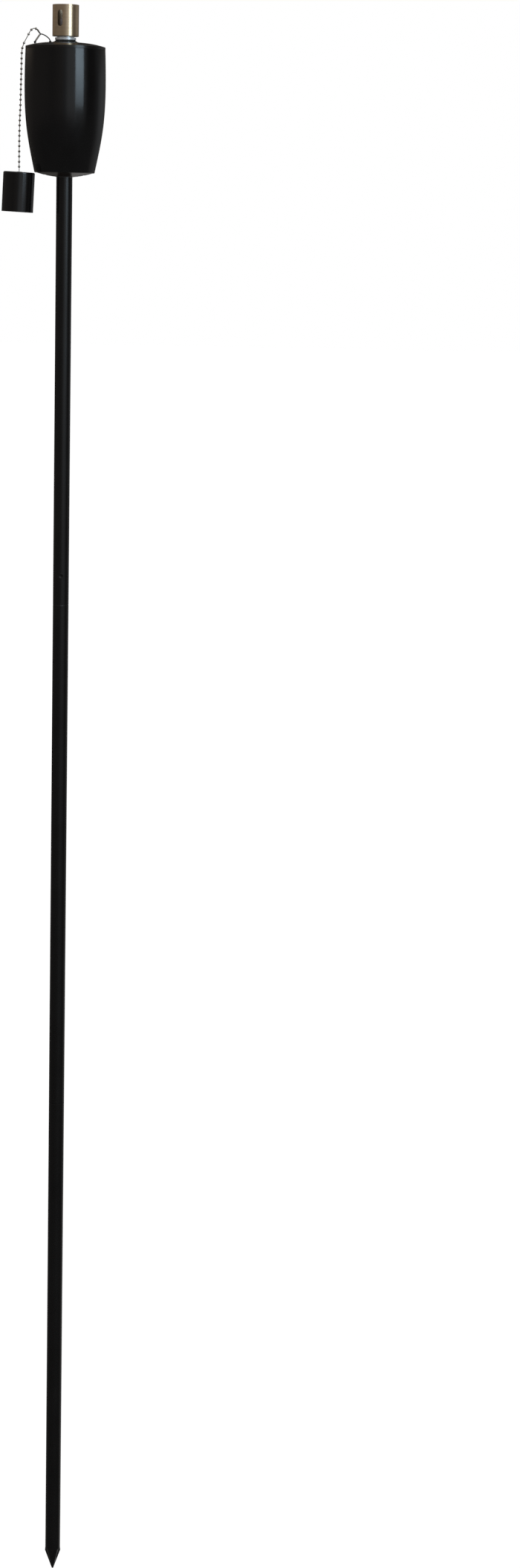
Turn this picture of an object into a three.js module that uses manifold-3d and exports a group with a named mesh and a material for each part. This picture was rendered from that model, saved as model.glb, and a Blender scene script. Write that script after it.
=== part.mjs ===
// Garden torch on a sectional pole: a lidded oil canister with a push-in wick burner,
// and a snuffer cap that hangs from the lid on a bead chain.
// Millimetres, +Z up. The origin is on the pole's axis at the ground line, the front is -Y,
// and the snuffer hangs on the -X side.
import * as THREE from 'three';
import { mergeVertices } from 'three/addons/utils/BufferGeometryUtils.js';
import Module from 'manifold-3d';

// ---- driving dimensions ----
const OVERALL_HEIGHT = 1650;
const STAKE_DEPTH = 200;
const GAP = 0.3;

const POLE_RADIUS = 8;
const POLE_WALL = 1;
const SECTION_HEIGHT = 528;
const COUPLER_REACH = 40;
const STAKE_MARK_RISE = 30;
const STAKE_MARK_RADIUS = 2.6;
const STAKE_MARK_DEPTH = 0.6;
const POINT_LENGTH = 21;
const POINT_FLARE = 0.3;
const POINT_RADIUS = 1.2;
const POINT_FOLDS = 6;
const FOLD_DEPTH = 0.24;

const CANISTER_HEIGHT = 119.4;
const CANISTER_BASE_RADIUS = 30;
const CANISTER_RIM_RADIUS = 39.4;
const CANISTER_WALL = 0.8;
const CANISTER_EDGE = 0.9;
// The side's two inner control points, as radius and height above the base.
const CANISTER_FOOT_PULL = [38, 38.7];
const CANISTER_BELLY_PULL = [41.75, 53.8];
const BASE_DISH = 4.5;
const LID_SHOULDER = 2.4;
const LID_DOME = 4.2;
const LID_SKIRT = 4;
const LID_CORNER = 0.3;
const COLLAR_FOOT_RISE = 6.8;
const COLLAR_RISE = 7.9;
const COLLAR_FLARE_RADIUS = 13.2;
const BAND_RISE = 8.8;
const BAND_HEIGHT = 2.3;
const BAND_RADIUS = 10.35;
const SOCKET_DEPTH = 36;

const BURNER_RISE = 12.3;
const SHROUD_RADIUS = 13;
const SHROUD_HEIGHT = 30.3;
const SHROUD_WALL = 0.6;
const SLOT_COUNT = 2;
const SLOT_WIDTH = 5.3;
const SLOT_HEIGHT = 15.6;
const SLOT_BELOW_TOP = 5.5;
const SLOT_TURN_DEG = -26;
const NECK_BORE = 8.9;
const WICK_TUBE_RADIUS = 5.8;
const WICK_RADIUS = 4.9;

const LOOP_WIRE = 0.55;
const CHAIN_RADIUS = 1.2;
const CAP_RADIUS = 15.65;
const CAP_HEIGHT = 39.1;
const CAP_WALL = 0.7;
const CAP_EDGE = 1.4;
const CAP_TILT_DEG = 2.5;
const CAP_X = -44.8;

// ---- heights that follow from them ----
const TIP_Z = -STAKE_DEPTH;
const TOP_Z = OVERALL_HEIGHT - STAKE_DEPTH;
const SHROUD_Z = TOP_Z - SHROUD_HEIGHT;
const RIM_Z = SHROUD_Z - BURNER_RISE;
const BASE_Z = RIM_Z - CANISTER_HEIGHT;
const LOWER_SEAM_Z = TIP_Z + SECTION_HEIGHT;
const UPPER_SEAM_Z = LOWER_SEAM_Z + SECTION_HEIGHT;
const SOCKET_CEILING_Z = BASE_Z + SOCKET_DEPTH;
const COLLAR_TOP_Z = RIM_Z + COLLAR_RISE;
const BAND_Z = RIM_Z + BAND_RISE;
const CAP_TOP_Z = BASE_Z;

// ---- the chain's route from the loop, over the rim and down to the cap (x, z) ----
const CHAIN_ROUTE = [
  [-26.5, 1424.1], [-28.1, 1425.9], [-30.4, 1426.7], [-32.3, 1426.3], [-34.7, 1424.0], [-36.3, 1421.0],
  [-38.7, 1416.6], [-40.9, 1412.2], [-42.4, 1407.6], [-42.95, 1402.5], [-43.2, 1390.0], [-43.6, 1371.8],
  [-44.0, 1352.7], [-44.6, 1336.0], [-44.85, 1322.0], [-44.9, 1307.0], [-44.9, 1292.3],
];

// ---- materials ----
const steel = { metalness: 1, roughness: 0.3 };
const MATERIALS = {
  blackPaint: { color: 0x12100f, metalness: 0.1, roughness: 0.35 },
  brushedSteel: { color: 0xc9c4ba, metalness: 1, roughness: 0.34 },
  zincSteel: { color: 0xb8b9ba, ...steel },
  chainSteel: { color: 0xa7a6a2, ...steel },
  blackWire: { color: 0x1a1817, metalness: 0.3, roughness: 0.45 },
  rubber: { color: 0x0c0c0c, metalness: 0, roughness: 0.85 },
  wick: { color: 0xe6dfcd, metalness: 0, roughness: 0.95 },
};

// ---- helpers ----
// A solid of revolution about Z from [radius, height] points. A ring's outline closes on itself.
function turned(outline, segments = 32) {
  const profile = outline.map(([radius, height]) => new THREE.Vector2(radius, height));
  if (THREE.ShapeUtils.area(profile) < 0) profile.reverse();
  const onAxis = profile[0].x === 0 && profile[profile.length - 1].x === 0;
  if (!onAxis) profile.push(profile[0].clone());
  return new THREE.LatheGeometry(profile, segments).rotateX(Math.PI / 2);
}

// A plain sleeve between two radii and two heights.
function sleeve(inner, outer, low, high, segments = 24) {
  return turned([[inner, low], [outer, low], [outer, high], [inner, high]], segments);
}

// Points on an arc of a turned outline, angles in degrees from the outward radius.
function arc(radius, height, size, fromDeg, toDeg, steps = 3) {
  return Array.from({ length: steps + 1 }, (_, i) => {
    const angle = THREE.MathUtils.degToRad(fromDeg + ((toDeg - fromDeg) * i) / steps);
    return [radius + size * Math.cos(angle), height + size * Math.sin(angle)];
  });
}

// A round bar swept along a smooth curve through 3-D points.
function bar(points, radius, sides, steps) {
  const section = new THREE.Shape(
    Array.from({ length: sides }, (_, i) => {
      const angle = (2 * Math.PI * i) / sides;
      return new THREE.Vector2(radius * Math.cos(angle), radius * Math.sin(angle));
    }),
  );
  const extrudePath = new THREE.CatmullRomCurve3(points, false, 'centripetal');
  return new THREE.ExtrudeGeometry(section, { steps, bevelEnabled: false, extrudePath });
}

const wasm = await Module();
wasm.setup();

function solidOf(geometry) {
  const bare = geometry.clone();
  bare.deleteAttribute('normal');
  bare.deleteAttribute('uv');
  const merged = mergeVertices(bare);
  return new wasm.Manifold(new wasm.Mesh({
    numProp: 3,
    vertProperties: new Float32Array(merged.attributes.position.array),
    triVerts: new Uint32Array(merged.index.array),
  }));
}

function geometryOf(solid) {
  const mesh = solid.getMesh();
  const geometry = new THREE.BufferGeometry();
  geometry.setAttribute('position', new THREE.BufferAttribute(mesh.vertProperties, 3));
  geometry.setIndex(new THREE.BufferAttribute(mesh.triVerts, 1));
  geometry.computeVertexNormals();
  return geometry;
}

// The first geometry with each of the others cut away.
function cut(geometry, cutters) {
  const result = cutters.reduce((solid, cutter) => solid.subtract(solidOf(cutter)), solidOf(geometry));
  return geometryOf(result);
}

function part(name, geometry, material, parent) {
  const mesh = new THREE.Mesh(geometry, new THREE.MeshStandardMaterial(MATERIALS[material]));
  mesh.name = name;
  parent.add(mesh);
  return mesh;
}

// ---- pole ----
// A tube section from one seam to the next, with a stake mark that holds its coupler.
// side is +1 for a mark on the back and -1 for one on the front.
function markedTube(low, high, side) {
  const tube = sleeve(POLE_RADIUS - POLE_WALL, POLE_RADIUS, low, high, 32);
  const mark = new THREE.SphereGeometry(STAKE_MARK_RADIUS, 16, 10);
  const outside = POLE_RADIUS - STAKE_MARK_DEPTH + STAKE_MARK_RADIUS;
  mark.translate(0, side * outside, low + STAKE_MARK_RISE);
  return cut(tube, [mark]);
}

function coupler(seam) {
  const outer = POLE_RADIUS - POLE_WALL - GAP;
  return sleeve(outer - POLE_WALL, outer, seam - COUPLER_REACH, seam + COUPLER_REACH);
}

// The lower tube's end is pleated shut into a point: the radius narrows towards the tip,
// and folds run down it.
function pointedTube() {
  const topOfPoint = TIP_Z + POINT_LENGTH;
  const inner = POLE_RADIUS - POLE_WALL;
  const flared = POLE_RADIUS + POINT_FLARE;
  const outside = [[0, TIP_Z], [0.75, TIP_Z + 0.3]];
  for (const share of [0, 0.25, 0.5, 0.75, 1]) {
    outside.push([POINT_RADIUS + (flared - POINT_RADIUS) * share, TIP_Z + 1 + (POINT_LENGTH - 1) * share]);
  }
  outside.push([POLE_RADIUS, topOfPoint + 4], [POLE_RADIUS, LOWER_SEAM_Z - GAP / 2]);
  const inside = [
    [inner, LOWER_SEAM_Z - GAP / 2], [inner, topOfPoint + 4], [inner * 0.6, topOfPoint - 6], [0, TIP_Z + 6],
  ];
  const geometry = turned([...outside, ...inside], POINT_FOLDS * 6);
  const position = geometry.attributes.position;
  for (let i = 0; i < position.count; i += 1) {
    const [x, y, z] = [position.getX(i), position.getY(i), position.getZ(i)];
    const down = THREE.MathUtils.clamp((topOfPoint + 2 - z) / (POINT_LENGTH + 2), 0, 1);
    const pleat = Math.sin((POINT_FOLDS / 2) * Math.atan2(y, x)) ** 2;
    const scale = 1 - FOLD_DEPTH * pleat * Math.sin(Math.PI * Math.sqrt(down));
    position.setXY(i, x * scale, y * scale);
  }
  return geometry;
}

function addPole(torch) {
  part('lower_pole', pointedTube(), 'blackPaint', torch);
  part('lower_coupler', coupler(LOWER_SEAM_Z), 'zincSteel', torch);
  part('middle_pole', markedTube(LOWER_SEAM_Z + GAP / 2, UPPER_SEAM_Z - GAP / 2, 1), 'blackPaint', torch);
  part('upper_coupler', coupler(UPPER_SEAM_Z), 'zincSteel', torch);
  part('upper_pole', markedTube(UPPER_SEAM_Z + GAP / 2, SOCKET_CEILING_Z - GAP, -1), 'blackPaint', torch);
}

// ---- canister ----
// The side's outline: a cone at the foot that swells into a barrel and draws in at the rim.
function canisterSide(inset, low, high, steps = 11) {
  const side = new THREE.CubicBezierCurve(
    new THREE.Vector2(CANISTER_BASE_RADIUS - inset, low),
    new THREE.Vector2(CANISTER_FOOT_PULL[0] - inset, BASE_Z + CANISTER_FOOT_PULL[1]),
    new THREE.Vector2(CANISTER_BELLY_PULL[0] - inset, BASE_Z + CANISTER_BELLY_PULL[1]),
    new THREE.Vector2(CANISTER_RIM_RADIUS - inset, high),
  );
  return side.getPoints(steps).map((point) => [point.x, point.y]);
}

function canisterShell() {
  const edgeZ = BASE_Z + CANISTER_EDGE;
  const edgeRadius = CANISTER_BASE_RADIUS - CANISTER_EDGE;
  return turned([
    [edgeRadius - 0.2, BASE_Z],
    ...arc(edgeRadius, edgeZ, CANISTER_EDGE, -90, 0, 3).slice(0, -1),
    ...canisterSide(0, edgeZ, RIM_Z - GAP),
    ...canisterSide(CANISTER_WALL, edgeZ, RIM_Z - GAP).reverse(),
    [edgeRadius - 0.2, BASE_Z + CANISTER_WALL],
  ], 44);
}

function lidHeight(radius) {
  return RIM_Z + LID_SHOULDER + LID_DOME * (1 - (radius / CANISTER_RIM_RADIUS) ** 3);
}

function canisterLid() {
  const hole = NECK_BORE + 2;
  const shoulder = CANISTER_RIM_RADIUS - LID_CORNER;
  const skirt = CANISTER_RIM_RADIUS - CANISTER_WALL - GAP;
  const across = [0, 0.25, 0.5, 0.7, 0.87, 1].map((share) => hole + (shoulder - hole) * share);
  const top = across.map((radius) => [radius, lidHeight(radius)]);
  const under = across.slice(0, -1).map((radius) => [radius, lidHeight(radius) - CANISTER_WALL]);
  return turned([
    ...top,
    [CANISTER_RIM_RADIUS, RIM_Z + LID_SHOULDER - LID_CORNER],
    [CANISTER_RIM_RADIUS, RIM_Z],
    [skirt, RIM_Z],
    [skirt, RIM_Z - LID_SKIRT],
    [skirt - CANISTER_WALL, RIM_Z - LID_SKIRT],
    [skirt - CANISTER_WALL, lidHeight(shoulder) - CANISTER_WALL],
    ...under.reverse(),
  ], 44);
}

function canisterBottom() {
  const hole = POLE_RADIUS + 1.45;
  const rim = CANISTER_BASE_RADIUS - CANISTER_EDGE - 0.2 - GAP;
  const dish = (radius) => BASE_Z + 0.2 - BASE_DISH * (1 - (radius / rim) ** 2);
  const across = [0, 0.35, 0.7, 1].map((share) => hole + (rim - hole) * share);
  return turned([
    ...across.map((radius) => [radius, dish(radius)]),
    [rim, BASE_Z + 5],
    [rim - CANISTER_WALL, BASE_Z + 5],
    ...across.slice(0, -1).reverse().map((radius) => [radius, dish(radius) + CANISTER_WALL]),
  ], 44);
}

// A blind tube inside the canister that drops over the pole.
function poleSocket() {
  const bore = POLE_RADIUS + 0.35;
  const outer = bore + CANISTER_WALL;
  const mouth = BASE_Z - BASE_DISH + 0.5;
  return turned([
    [0, SOCKET_CEILING_Z], [bore, SOCKET_CEILING_Z], [bore, mouth], [outer, mouth],
    [outer, SOCKET_CEILING_Z + 1], [0, SOCKET_CEILING_Z + 1],
  ], 24);
}

// A flared collar on the lid, with a short tube down into the canister.
function fillerNeck() {
  const tube = NECK_BORE + 1.5;
  const top = tube + 0.5;
  const foot = RIM_Z + COLLAR_FOOT_RISE;
  return turned([
    [NECK_BORE, RIM_Z - 12], [tube, RIM_Z - 12], [tube, foot], [COLLAR_FLARE_RADIUS, foot],
    [COLLAR_FLARE_RADIUS - 0.1, foot + 0.2], [top + 0.8, foot + 0.5], [top, COLLAR_TOP_Z],
    [NECK_BORE, COLLAR_TOP_Z],
  ]);
}

function addCanister(torch) {
  part('pole_socket', poleSocket(), 'zincSteel', torch);
  part('canister_bottom', canisterBottom(), 'blackPaint', torch);
  part('canister_shell', canisterShell(), 'blackPaint', torch);
  part('canister_lid', canisterLid(), 'blackPaint', torch);
  part('filler_neck', fillerNeck(), 'blackPaint', torch);
  part('neck_gasket', sleeve(NECK_BORE, 9.9, COLLAR_TOP_Z + 0.2, BAND_Z - 0.2, 32), 'rubber', torch);
}

// ---- burner ----
// A plug that sits in the neck: a bright band above, a skirt below, and a waist under the cup.
function burnerPlug() {
  const bore = WICK_TUBE_RADIUS + GAP;
  const skirt = NECK_BORE - GAP;
  const waist = skirt - 0.1;
  const bandTop = BAND_Z + BAND_HEIGHT;
  return turned([
    [bore, RIM_Z - 5], [skirt, RIM_Z - 5], [skirt, BAND_Z], [BAND_RADIUS - 0.3, BAND_Z],
    [BAND_RADIUS, BAND_Z + 0.3], [BAND_RADIUS, bandTop - 0.3], [BAND_RADIUS - 0.3, bandTop],
    [waist, bandTop], [waist, SHROUD_Z - GAP], [bore, SHROUD_Z - GAP],
  ]);
}

function slotCutter(turnDeg) {
  const radius = SLOT_WIDTH / 2;
  const straight = (SLOT_HEIGHT - SLOT_WIDTH) / 2;
  const outline = new THREE.Shape();
  outline.absarc(0, straight, radius, 0, Math.PI);
  outline.absarc(0, -straight, radius, Math.PI, 2 * Math.PI);
  const cutter = new THREE.ExtrudeGeometry(outline, { depth: 5, bevelEnabled: false, curveSegments: 8 });
  cutter.rotateX(Math.PI / 2);
  cutter.translate(0, 2 - SHROUD_RADIUS, TOP_Z - SLOT_BELOW_TOP - SLOT_HEIGHT / 2);
  return cutter.rotateZ(THREE.MathUtils.degToRad(turnDeg));
}

// A drawn cup round the wick tube with tall air slots.
function burnerShroud() {
  const inner = SHROUD_RADIUS - SHROUD_WALL;
  const hole = WICK_TUBE_RADIUS + GAP;
  const cup = turned([
    [hole, SHROUD_Z], [SHROUD_RADIUS - 0.3, SHROUD_Z], [SHROUD_RADIUS, SHROUD_Z + 0.3],
    [SHROUD_RADIUS, TOP_Z - 0.3], [SHROUD_RADIUS - 0.3, TOP_Z], [inner, TOP_Z],
    [inner, SHROUD_Z + SHROUD_WALL], [hole, SHROUD_Z + SHROUD_WALL],
  ], 48);
  const turns = Array.from({ length: SLOT_COUNT }, (_, i) => SLOT_TURN_DEG + (360 * i) / SLOT_COUNT);
  return cut(cup, turns.map(slotCutter));
}

function addBurner(torch) {
  part('burner_plug', burnerPlug(), 'zincSteel', torch);
  part('burner_shroud', burnerShroud(), 'brushedSteel', torch);
  const tube = sleeve(WICK_TUBE_RADIUS - 0.5, WICK_TUBE_RADIUS, RIM_Z - 8.4, RIM_Z + 28.6);
  part('wick_tube', tube, 'zincSteel', torch);
  const wickTop = RIM_Z + 30.6;
  const wickFoot = SOCKET_CEILING_Z + 7;
  part('wick', turned([
    [0, wickFoot], [WICK_RADIUS, wickFoot], [WICK_RADIUS, wickTop - 1], [WICK_RADIUS - 1, wickTop],
    [0, wickTop],
  ], 16), 'wick', torch);
}

// ---- snuffer ----
const LOOP_POINTS = [
  [-30.5, 1412.85], [-29.5, 1414.3], [-27.1, 1417.75], [-25.0, 1420.75], [-24.2, 1421.4], [-23.0, 1421.3],
  [-20.2, 1420.2], [-17.9, 1418.7], [-16.0, 1416.9], [-15.15, 1415.2], [-15.1, 1414.2],
];

// A short ring of the loop's wire size, standing round a straight stretch of its leg.
function legRing(bore, outer, from, to) {
  const low = new THREE.Vector3(from[0], 0, from[1]);
  const high = new THREE.Vector3(to[0], 0, to[1]);
  const along = high.clone().sub(low);
  const ring = sleeve(bore, outer, 0, along.length(), 12);
  const turn = new THREE.Quaternion().setFromUnitVectors(new THREE.Vector3(0, 0, 1), along.normalize());
  return ring.applyQuaternion(turn).translate(low.x, 0, low.z);
}

function addLoop(torch) {
  const points = LOOP_POINTS.map(([x, z]) => new THREE.Vector3(x, 0, z));
  part('chain_loop', bar(points, LOOP_WIRE, 8, 22), 'blackWire', torch);
  part('loop_boss_left', legRing(0.85, 1.2, [-30.1, 1413.43], [-29.55, 1414.22]), 'blackWire', torch);
  part('loop_boss_right', legRing(0.85, 1.35, [-15.1, 1414.15], [-15.1, 1415.15]), 'blackWire', torch);
  part('chain_coupling', legRing(0.85, 1.15, [-29.35, 1414.52], [-25.2, 1420.46]), 'chainSteel', torch);
}

// The hanging cap: an open-bottomed can with an eyelet in its crown.
function snufferCap() {
  const hole = 2.3;
  const roof = CAP_RADIUS - CAP_EDGE;
  const insideEdge = CAP_EDGE - CAP_WALL;
  return turned([
    [hole, 0], ...arc(roof, -CAP_EDGE, CAP_EDGE, 90, 0, 3),
    [CAP_RADIUS, -CAP_HEIGHT], [CAP_RADIUS - CAP_WALL, -CAP_HEIGHT],
    [CAP_RADIUS - CAP_WALL, -CAP_EDGE], [roof, insideEdge - CAP_EDGE], [hole, -CAP_WALL],
  ], 40);
}

function capEyelet() {
  return turned([
    [1.35, -1.3], [3, -1.3], [3, -1], [2, -1], [2, 0.3], [2.8, 0.3], [2.8, 0.45], [2.4, 0.55], [1.35, 0.55],
  ], 16);
}

// A thin link through the eyelet, headed inside the cap.
function chainEndLink(bottomOfChain) {
  const head = 1.2;
  const headZ = -3.4;
  return turned([
    ...arc(0, headZ, head, -90, 60, 5).map(([r, z], i) => (i === 0 ? [0, z] : [r, z])),
    [0.35, headZ + head], [0.35, bottomOfChain], [0, bottomOfChain],
  ], 12);
}

function addSnuffer(torch) {
  const route = CHAIN_ROUTE.map(([x, z]) => new THREE.Vector3(x, 0, z));
  part('snuffer_chain', bar(route, CHAIN_RADIUS, 8, 44), 'chainSteel', torch);
  const hanging = new THREE.Group();
  hanging.position.set(CAP_X, 0, CAP_TOP_Z);
  torch.add(hanging);
  const chainFoot = CHAIN_ROUTE[CHAIN_ROUTE.length - 1][1] - CAP_TOP_Z;
  part('chain_end_link', chainEndLink(chainFoot - GAP), 'chainSteel', hanging);
  const cap = new THREE.Group();
  cap.rotation.y = THREE.MathUtils.degToRad(CAP_TILT_DEG);
  hanging.add(cap);
  part('cap_eyelet', capEyelet(), 'blackWire', cap);
  part('snuffer_cap', snufferCap(), 'blackPaint', cap);
}

const torch = new THREE.Group();
addPole(torch);
addCanister(torch);
addBurner(torch);
addLoop(torch);
addSnuffer(torch);

export default torch;
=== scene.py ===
import math

import bmesh
import bpy
from mathutils import Matrix, Vector


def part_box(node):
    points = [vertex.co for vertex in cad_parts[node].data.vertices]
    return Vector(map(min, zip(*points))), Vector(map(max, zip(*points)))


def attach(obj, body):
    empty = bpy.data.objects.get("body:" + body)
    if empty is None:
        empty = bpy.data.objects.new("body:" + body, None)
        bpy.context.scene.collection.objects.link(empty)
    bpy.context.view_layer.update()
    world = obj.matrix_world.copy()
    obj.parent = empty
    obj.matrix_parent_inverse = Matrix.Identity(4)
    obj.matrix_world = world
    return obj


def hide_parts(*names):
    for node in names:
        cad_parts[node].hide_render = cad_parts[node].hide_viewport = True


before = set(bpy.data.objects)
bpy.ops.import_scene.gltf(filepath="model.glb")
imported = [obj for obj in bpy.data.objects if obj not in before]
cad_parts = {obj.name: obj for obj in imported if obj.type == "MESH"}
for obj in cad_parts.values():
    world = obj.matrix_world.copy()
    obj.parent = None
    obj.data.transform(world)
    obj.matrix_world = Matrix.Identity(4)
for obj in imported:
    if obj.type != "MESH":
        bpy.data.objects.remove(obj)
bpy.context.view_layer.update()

# Looks for the garden torch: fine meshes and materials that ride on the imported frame.
# Metres, +Z up, origin on the pole's axis at the ground line, front -Y, snuffer on the -X side.
# Outlines are written in millimetres and scaled by MM when they become meshes.
MM = 0.001
UP = Vector((0, 0, 1))


def box_mm(node):
    """A CAD node's lowest and highest corners, in millimetres."""
    low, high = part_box(node)
    return low / MM, high / MM


# ---- driving sizes, from the frame where the frame has them (mm) ----
TIP_Z = box_mm("lower_pole")[0].z
LOWER_SEAM_Z = box_mm("lower_pole")[1].z
POLE_RADIUS = box_mm("middle_pole")[1].x
POLE_WALL = 1.0
STAKE_MARK_RISE = 30.0
STAKE_MARK_RADIUS = 2.1
STAKE_MARK_DEPTH = 0.6
POINT_LENGTH = 21.0
POINT_FLARE = 0.3
POINT_FOLDS = 6
FOLD_DEPTH = 0.24

BASE_Z = box_mm("canister_shell")[0].z
RIM_Z = box_mm("canister_shell")[1].z
RIM_RADIUS = box_mm("canister_lid")[1].x
BASE_RADIUS = 30.0
SHEET = 0.8
LID_SHOULDER = 2.4
LID_DOME = 4.2
SEAM = 0.06
NECK_BORE = 8.9
COLLAR_FLARE = 13.2
COLLAR_TOP_Z = box_mm("filler_neck")[1].z

SHROUD_Z = box_mm("burner_shroud")[0].z
SHROUD_TOP_Z = box_mm("burner_shroud")[1].z
SHROUD_RADIUS = box_mm("burner_shroud")[1].x
SHROUD_WALL = 0.6
BAND_LIFT = 0.9
BAND_HEIGHT = 2.3
SLOT_COUNT = 2
SLOT_WIDTH = 5.3
SLOT_HEIGHT = 15.6
SLOT_BELOW_TOP = 5.5
SLOT_TURN = math.radians(-26)

CHAIN_RADIUS = 1.2
CAP_RADIUS = 15.65
CAP_HEIGHT = 39.1
CAP_WALL = 0.7
CAP_TILT = math.radians(2.5)
CAP_PLACE = Vector((-44.8, 0, BASE_Z)) * MM

# ---- camera ----
CAMERA_PLACE = Vector((0, -3.0, 1.2514))
CAMERA_YAW = math.radians(3.965)
CAMERA_PITCH = math.radians(10.918)
CAMERA_ROLL = math.radians(1.244)
CAMERA_LENS = 67.743
CAMERA_SENSOR = 36


def make_camera():
    level = Vector((math.cos(CAMERA_YAW), -math.sin(CAMERA_YAW), 0))
    ahead = Vector((math.sin(CAMERA_YAW), math.cos(CAMERA_YAW), 0)) * math.cos(CAMERA_PITCH)
    ahead -= UP * math.sin(CAMERA_PITCH)
    above = level.cross(ahead)
    right = level * math.cos(CAMERA_ROLL) + above * math.sin(CAMERA_ROLL)
    top = above * math.cos(CAMERA_ROLL) - level * math.sin(CAMERA_ROLL)
    data = bpy.data.cameras.new("camera")
    data.lens = CAMERA_LENS
    data.sensor_fit = "AUTO"
    data.sensor_width = CAMERA_SENSOR
    data.clip_end = 50
    camera = bpy.data.objects.new("camera", data)
    turned = Matrix((right, top, -ahead)).transposed().to_4x4()
    camera.matrix_world = Matrix.Translation(CAMERA_PLACE) @ turned
    bpy.context.scene.collection.objects.link(camera)
    bpy.context.scene.camera = camera


make_camera()


# ---- mesh helpers ----
ON_AXIS = 1e-6
STRAIGHT = math.radians(155)
CORNER_SHARE = 0.45
# A wire end's dome: how far along the wire, and how wide, as shares of its radius.
DOME = ((0.3, 0.95), (0.7, 0.72), (0.95, 0.3))


def finished(name, mesh, body, nodes, material, sharp_deg=38):
    """Puts a mesh in the scene as a piece that rides on a body and stands for CAD nodes."""
    mesh.polygons.foreach_set("use_smooth", [True] * len(mesh.polygons))
    mesh.set_sharp_from_angle(angle=math.radians(sharp_deg))
    mesh.materials.clear()
    mesh.materials.append(material)
    piece = bpy.data.objects.new(name, mesh)
    bpy.context.scene.collection.objects.link(piece)
    weighted = piece.modifiers.new("weighted_normals", "WEIGHTED_NORMAL")
    weighted.keep_sharp = True
    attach(piece, body)
    if nodes:
        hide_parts(*nodes)
    return piece


def rounded(outline, radius, steps=4):
    """A closed outline with each corner that is off the axis eased into a curve."""
    result = []
    for i, corner in enumerate(outline):
        point = Vector(corner)
        before = Vector(outline[i - 1]) - point
        after = Vector(outline[(i + 1) % len(outline)]) - point
        if point.x < ON_AXIS or before.angle(after) > STRAIGHT:
            result.append(tuple(point))
            continue
        longest = CORNER_SHARE * min(before.length, after.length)
        reach = min(radius / math.tan(before.angle(after) / 2), longest)
        start = point + before.normalized() * reach
        end = point + after.normalized() * reach
        for step in range(steps + 1):
            t = step / steps
            result.append(tuple(start * (1 - t) ** 2 + point * 2 * t * (1 - t) + end * t * t))
    return result


def lathe_into(bm, outline, segments, matrix=None):
    """Adds a solid of revolution about Z to bm, from (radius, height) in mm, then placed by matrix."""
    turn = [2 * math.pi * i / segments for i in range(segments)]
    rings = []
    for radius, height in outline:
        if radius < ON_AXIS:
            rings.append([bm.verts.new((0, 0, height * MM))])
            continue
        places = [(radius * MM * math.cos(a), radius * MM * math.sin(a), height * MM) for a in turn]
        rings.append([bm.verts.new(place) for place in places])
    pairs = list(zip(rings, rings[1:]))
    if not (len(rings[0]) == 1 and len(rings[-1]) == 1):
        pairs.append((rings[-1], rings[0]))
    for low, high in pairs:
        for i in range(segments):
            j = (i + 1) % segments
            corners = [low[i % len(low)], low[j % len(low)], high[j % len(high)], high[i % len(high)]]
            unique = list(dict.fromkeys(corners))
            if len(unique) > 2:
                bm.faces.new(unique)
    if matrix is not None:
        bmesh.ops.transform(bm, matrix=matrix, verts=[vert for ring in rings for vert in ring])


def mesh_from(name, bm):
    bmesh.ops.recalc_face_normals(bm, faces=bm.faces)
    mesh = bpy.data.meshes.new(name)
    bm.to_mesh(mesh)
    bm.free()
    return mesh


def lathed(name, outline, segments, shape=None, matrix=None):
    """A mesh of revolution; shape(point) may move each vertex, in metres, before it is placed."""
    bm = bmesh.new()
    lathe_into(bm, outline, segments)
    if shape:
        for vert in bm.verts:
            vert.co = shape(vert.co)
    if matrix is not None:
        bmesh.ops.transform(bm, matrix=matrix, verts=bm.verts)
    return mesh_from(name, bm)


def smooth_route(points, step=0.0004, per_span=24):
    """Evenly spaced points on the centripetal Catmull-Rom curve through the points, and its length."""
    padded = [points[0] * 2 - points[1], *points, points[-1] * 2 - points[-2]]
    dense = []
    for a, b, c, d in zip(padded, padded[1:], padded[2:], padded[3:]):
        ta = 0.0
        tb = ta + math.sqrt((b - a).length)
        tc = tb + math.sqrt((c - b).length)
        td = tc + math.sqrt((d - c).length)
        for k in range(per_span):
            t = tb + (tc - tb) * k / per_span
            ab = a.lerp(b, (t - ta) / (tb - ta))
            bc = b.lerp(c, (t - tb) / (tc - tb))
            cd = c.lerp(d, (t - tc) / (td - tc))
            abc = ab.lerp(bc, (t - ta) / (tc - ta))
            bcd = bc.lerp(cd, (t - tb) / (td - tb))
            dense.append(abc.lerp(bcd, (t - tb) / (tc - tb)))
    dense.append(points[-1].copy())
    total = sum((q - p).length for p, q in zip(dense, dense[1:]))
    count = max(2, round(total / step))
    even = [dense[0].copy()]
    gone, target = 0.0, total / count
    for p, q in zip(dense, dense[1:]):
        length = (q - p).length
        while length > 0 and gone + length >= target - 1e-12 and len(even) < count:
            even.append(p.lerp(q, (target - gone) / length))
            target += total / count
        gone += length
    even.append(dense[-1].copy())
    return even, total


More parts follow.
